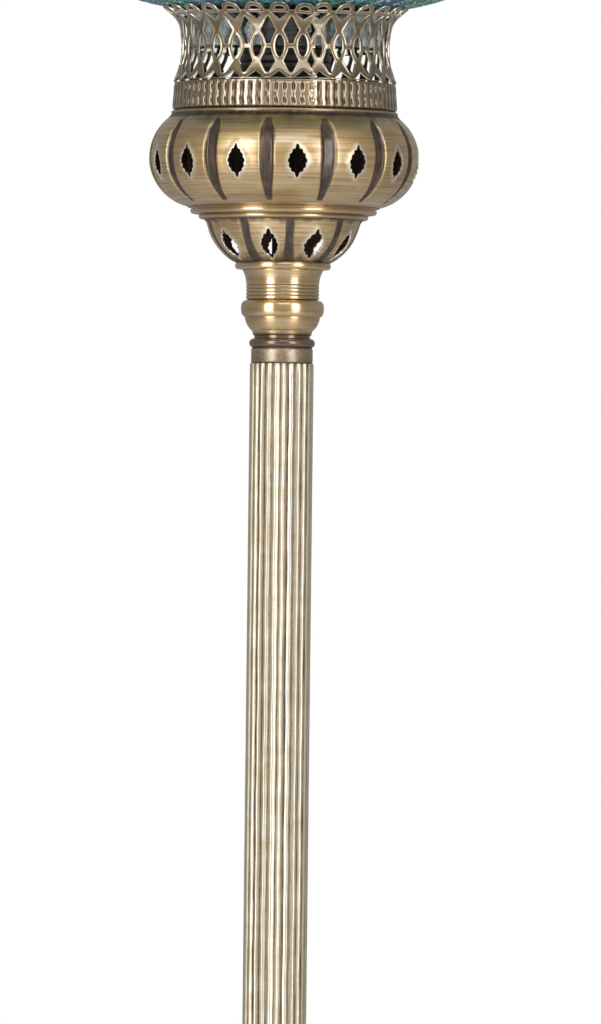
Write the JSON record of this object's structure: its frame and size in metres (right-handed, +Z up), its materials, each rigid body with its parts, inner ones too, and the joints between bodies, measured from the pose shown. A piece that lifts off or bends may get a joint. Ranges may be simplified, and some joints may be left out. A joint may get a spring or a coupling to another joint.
{
  "type": "mosaic floor lamp",
  "caption": "Floor lamp with a weighted round base, reeded brass pole, pierced brass head and a mosaic glass globe that lifts off over a screw-in bulb.",
  "frame": {"origin": "centre of the base's underside, on the pole's axis at floor level", "axes": "+Z up along the pole, the front as pictured faces -Y, cord entry at +Y"},
  "size_m": [0.28, 0.28, 1.4662],
  "materials": {
    "felt": "matte felt",
    "iron": "rough cast, painted black",
    "spun_brass": "aged satin with a dark patina in the grooves",
    "turned_brass": "aged, polished on the high places",
    "pierced_brass": "thin sheet, aged, bright cut edges",
    "reeded_brass": "aged satin, dark between the reeds",
    "dark_bead": "dark brown lacquer",
    "steel": "zinc plated",
    "nickel": "nickel plated",
    "bakelite": "black moulded",
    "gland_black": "black",
    "porcelain": "unglazed white",
    "solder": "soft grey",
    "black_glass": "glossy black",
    "clear_glass": "clear",
    "filament": "yellow coated rods",
    "globe_glass": "grey-green, slightly cloudy",
    "grout": "matte white cement",
    "bead_glass": "seed beads",
    "teal_glass": "small glass pieces",
    "blue_glass": "small glass pieces",
    "green_glass": "small glass pieces"
  },
  "bodies": {
    "stand": {"felt_pad": "felt", "weight": "iron", "tie_tube": "steel", "base_washer": "steel", "base_nut": "steel", "base_shell": "spun_brass", "cord_gland": "gland_black", "foot_flange": "turned_brass", "foot_neck": "turned_brass", "foot_band": "turned_brass", "foot_cup": "turned_brass", "foot_bead": "dark_bead", "pole_lower": "reeded_brass", "pole_middle": "reeded_brass", "pole_upper": "reeded_brass", "plug_1": "turned_brass", "plug_2": "turned_brass", "plug_3": "turned_brass", "plug_4": "turned_brass", "plug_5": "turned_brass", "plug_6": "turned_brass", "joint_bead_1": "dark_bead", "joint_bead_2": "dark_bead", "joint_nipple_1": "steel", "joint_nipple_2": "steel", "head_bead": "dark_bead", "head_cup": "turned_brass", "head_band": "turned_brass", "neck": "turned_brass", "pierced_dome": "spun_brass", "step_ring": "turned_brass", "bowl": "spun_brass", "gallery": "pierced_brass", "tray": "spun_brass", "head_nipple": "steel", "clamp_nut": "steel", "holder_cap": "bakelite", "holder_body": "bakelite", "thread_shell": "nickel", "holder_insulator": "porcelain", "contact_tongue": "nickel", "terminal_screws": "nickel"},
    "bulb_tip": {"bulb_tip": "solder"},
    "bulb": {"bulb_cap": "nickel", "bulb_insulator": "black_glass", "bulb_glass": "clear_glass", "bulb_stem": "clear_glass", "bulb_filaments": "filament"},
    "globe": {"globe_neck": "globe_glass", "globe_glass": "globe_glass", "globe_crown": "globe_glass", "grout": "grout", "bead_band": "bead_glass", "gores_teal": "teal_glass", "gores_blue": "blue_glass", "gores_green": "green_glass", "belt_diamonds": "teal_glass", "belt_hearts": "blue_glass", "belt_field": "green_glass", "rosette": "blue_glass"}
  },
  "joints": [
    {"name": "globe_lift", "type": "slide", "parent": "stand", "child": "globe", "axis": [0, 0, 1], "range_m": [0, 0.16]},
    {"name": "bulb_rise", "type": "slide", "parent": "stand", "child": "bulb_tip", "axis": [0, 0, 1], "range_m": [0, 0.02]},
    {"name": "bulb_turn", "type": "hinge", "parent": "bulb_tip", "child": "bulb", "pos_m": [0, 0, 1.2822], "axis": [0, 0, 1], "range_deg": [0, 1980]}
  ],
  "couplings": [
    {"joint": "bulb_rise", "follows": "bulb_turn", "m_per_rad": 0.00057757}
  ]
}
